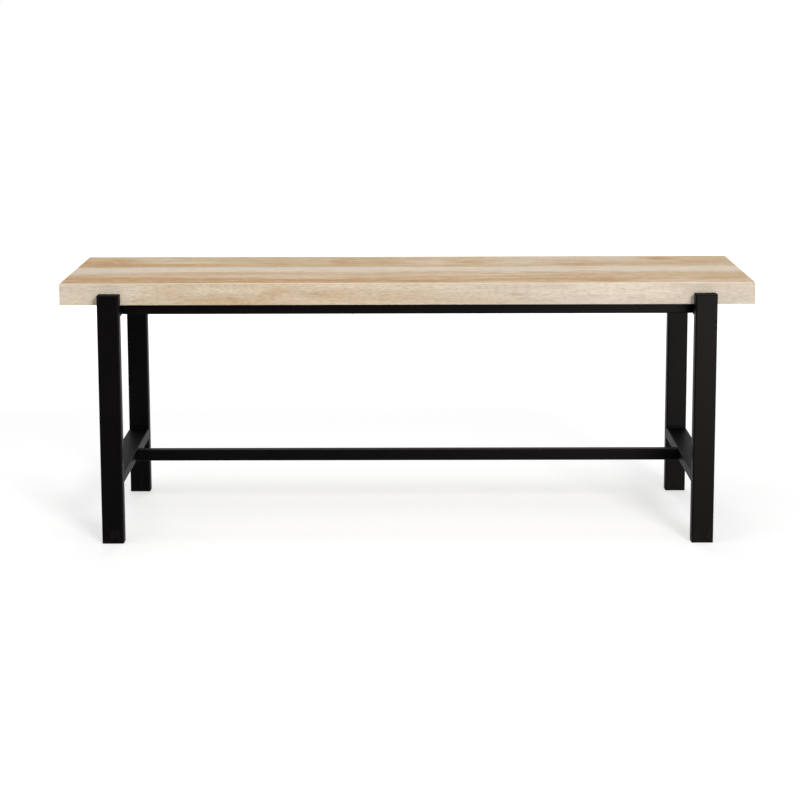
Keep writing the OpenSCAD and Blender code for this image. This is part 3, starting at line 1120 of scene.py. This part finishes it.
# %% A lathe
def turned(outline, steps):
    """Spins an outline of (along, radius) points round the Z axis."""
    bpy.ops.object.select_all(action="DESELECT")
    along, radius = outline[0]
    bpy.ops.mesh.primitive_plane_add(size=MM, location=(radius, 0, along))
    piece = settle()
    edit()
    bpy.ops.mesh.select_mode(type="VERT")
    bpy.ops.mesh.select_all(action="SELECT")
    bpy.ops.mesh.merge(type="CENTER")
    for (along, radius), (next_along, next_radius) in zip(outline, outline[1:]):
        shift = (next_radius - radius, 0, next_along - along)
        bpy.ops.mesh.extrude_region_move(TRANSFORM_OT_translate={"value": shift})
    bpy.ops.mesh.select_all(action="SELECT")
    bpy.ops.mesh.spin(steps=steps, angle=2 * math.pi, center=(0, 0, 0), axis=(0, 0, 1))
    bpy.ops.mesh.select_all(action="SELECT")
    bpy.ops.mesh.remove_doubles(threshold=SAME_POINT)
    bpy.ops.mesh.normals_make_consistent(inside=False)
    leave()
    return piece


def at_beam_ends(piece, name, out):
    """A copy at both ends of every beam, so far out from the middle and facing outwards."""
    return [
        twin(piece, name, (side * out, middle.y, middle.z), side * math.pi / 2, "Y")
        for side in (-1, 1)
        for middle in beam_middles
    ]


print("Holes, bolts and screws are round in", ROUND_STEPS, "steps")

# %% Outlines of heads and threads
def dome(diameter, height, points):
    """Half the outline of a low round head, from its rim to its middle."""
    curve = (diameter ** 2 / 4 + height ** 2) / (2 * height)
    rim = math.asin(diameter / 2 / curve)
    return [
        (height - curve + curve * math.cos(rim * (1 - index / points)),
         curve * math.sin(rim * (1 - index / points)))
        for index in range(points + 1)
    ]


def thread(start, end, root, crest, pitch):
    """A zigzag between the root and the crest of a thread."""
    turns = round(abs(end - start) / pitch)
    step = (end - start) / turns / 2
    return [
        (start + index * step, crest if index % 2 else root) for index in range(2 * turns + 1)
    ]


print("A dome 10 wide and 3 high ends", round(dome(10, 3, 4)[-1][0], 3), "above its rim")

# %% Frame bolts
BOLT_HEAD, BOLT_HEAD_HEIGHT, BOLT_HEAD_STEPS = 10.5 * MM, 3.3 * MM, 10
BOLT_ROOT, BOLT_PITCH = 0.86 * BOLT_RADIUS, 1 * MM
HEX_KEY, HEX_DEPTH = 4 * MM, 2 * MM
WASHER_THICKNESS = 1.2 * MM
BLOCK_LENGTH = 18 * MM
BOLT_END_GAP = 2 * MM
THREAD_LENGTH = 22 * MM
CHAMFER = 0.6 * MM
washer_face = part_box("bolt_washers")[1].x
shank = washer_face - beam_end + BLOCK_LENGTH - BOLT_END_GAP
outline = (
    [(-shank, 0.0), (-shank, BOLT_RADIUS - CHAMFER)]
    + thread(-shank + CHAMFER, -shank + THREAD_LENGTH, BOLT_ROOT, BOLT_RADIUS, BOLT_PITCH)
    + [(-shank + THREAD_LENGTH + CHAMFER, BOLT_RADIUS), (0.0, BOLT_RADIUS)]
    + dome(BOLT_HEAD, BOLT_HEAD_HEIGHT, BOLT_HEAD_STEPS)
)
bolt = turned(outline, ROUND_STEPS)
bpy.ops.object.select_all(action="DESELECT")
bpy.ops.mesh.primitive_cylinder_add(
    vertices=6, radius=HEX_KEY / math.sqrt(3), depth=2 * HEX_DEPTH,
    location=(0, 0, BOLT_HEAD_HEIGHT),
)
carve(bolt, settle())
smooth(bolt)
bolts = at_beam_ends(bolt, "bolt", washer_face)
bolt_set = gather(bolts, "frame_bolt_set")
hand_over(bolt_set, blackened)
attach(bolt_set, "root")
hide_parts("frame_bolts")
bpy.data.objects.remove(bolt)
print(len(bolts), "bolts with shanks of", round(shank / MM, 1), "mm")

# %% Washers
WASHER_RADIUS = 6.5 * MM
WASHER_HOLE = BOLT_RADIUS + HOLE_FIT
WASHER_STEPS = 40
EASE = 0.2 * MM
outline = [
    (0, WASHER_HOLE), (0, WASHER_RADIUS - EASE), (EASE, WASHER_RADIUS),
    (WASHER_THICKNESS - EASE, WASHER_RADIUS), (WASHER_THICKNESS, WASHER_RADIUS - EASE),
    (WASHER_THICKNESS, WASHER_HOLE + EASE), (WASHER_THICKNESS - EASE, WASHER_HOLE),
    (0, WASHER_HOLE),
]
washer = turned(outline, WASHER_STEPS)
smooth(washer)
washers = at_beam_ends(washer, "washer", washer_face - WASHER_THICKNESS)
washer_set = gather(washers, "bolt_washer_set")
hand_over(washer_set, zinc)
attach(washer_set, "root")
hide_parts("bolt_washers")
bpy.data.objects.remove(washer)
print(len(washers), "washers of", 2 * WASHER_RADIUS / MM, "mm")

# %% Top screws
SCREW_HEAD, SCREW_HEAD_HEIGHT, SCREW_HEAD_STEPS = 9 * MM, 1.6 * MM, 8
SCREW_ROOT, SCREW_PITCH = 0.72 * SCREW_RADIUS, 1.8 * MM
PLAIN_SHANK = 19 * MM
SCREW_POINT, SCREW_TAPER, SCREW_TIP = 5 * MM, 0.45 * SCREW_RADIUS, 0.3 * MM
RECESS_WIDTH, RECESS_LENGTH, RECESS_DEPTH = 1.2 * MM, 4.4 * MM, 1 * MM
NEXT_TURN = 0.7
screw_low, screw_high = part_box("top_screws")
head_seat = screw_low.z + SCREW_HEAD_HEIGHT
screw_length = screw_high.z - head_seat
head = dome(SCREW_HEAD, SCREW_HEAD_HEIGHT, SCREW_HEAD_STEPS)
outline = (
    [(-along, radius) for along, radius in reversed(head)]
    + [(0.0, SCREW_ROOT), (PLAIN_SHANK, SCREW_ROOT)]
    + thread(PLAIN_SHANK + CHAMFER, screw_length - SCREW_POINT,
             SCREW_ROOT, SCREW_RADIUS, SCREW_PITCH)
    + [(screw_length - SCREW_POINT / 2, SCREW_TAPER),
       (screw_length, SCREW_TIP), (screw_length, 0.0)]
)
screw = turned(outline, ROUND_STEPS)
for length, width in ((RECESS_LENGTH, RECESS_WIDTH), (RECESS_WIDTH, RECESS_LENGTH)):
    half = Vector((length / 2, width / 2, RECESS_DEPTH))
    face = Vector((0, 0, -SCREW_HEAD_HEIGHT))
    carve(screw, box_at(face - half, face + half))
smooth(screw)
screws = []
for middle in beam_middles[:2]:
    for index, run_place in enumerate(screw_runs):
        spot = Vector((run_place, middle.y, head_seat))
        screws.append(twin(screw, "screw", spot, index * NEXT_TURN + middle.y, "Z"))
screw_set = gather(screws, "top_screw_set")
hand_over(screw_set, blackened)
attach(screw_set, "root")
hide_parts("top_screws")
bpy.data.objects.remove(screw)
print(len(screws), "screws of", round(screw_length / MM, 1), "mm")
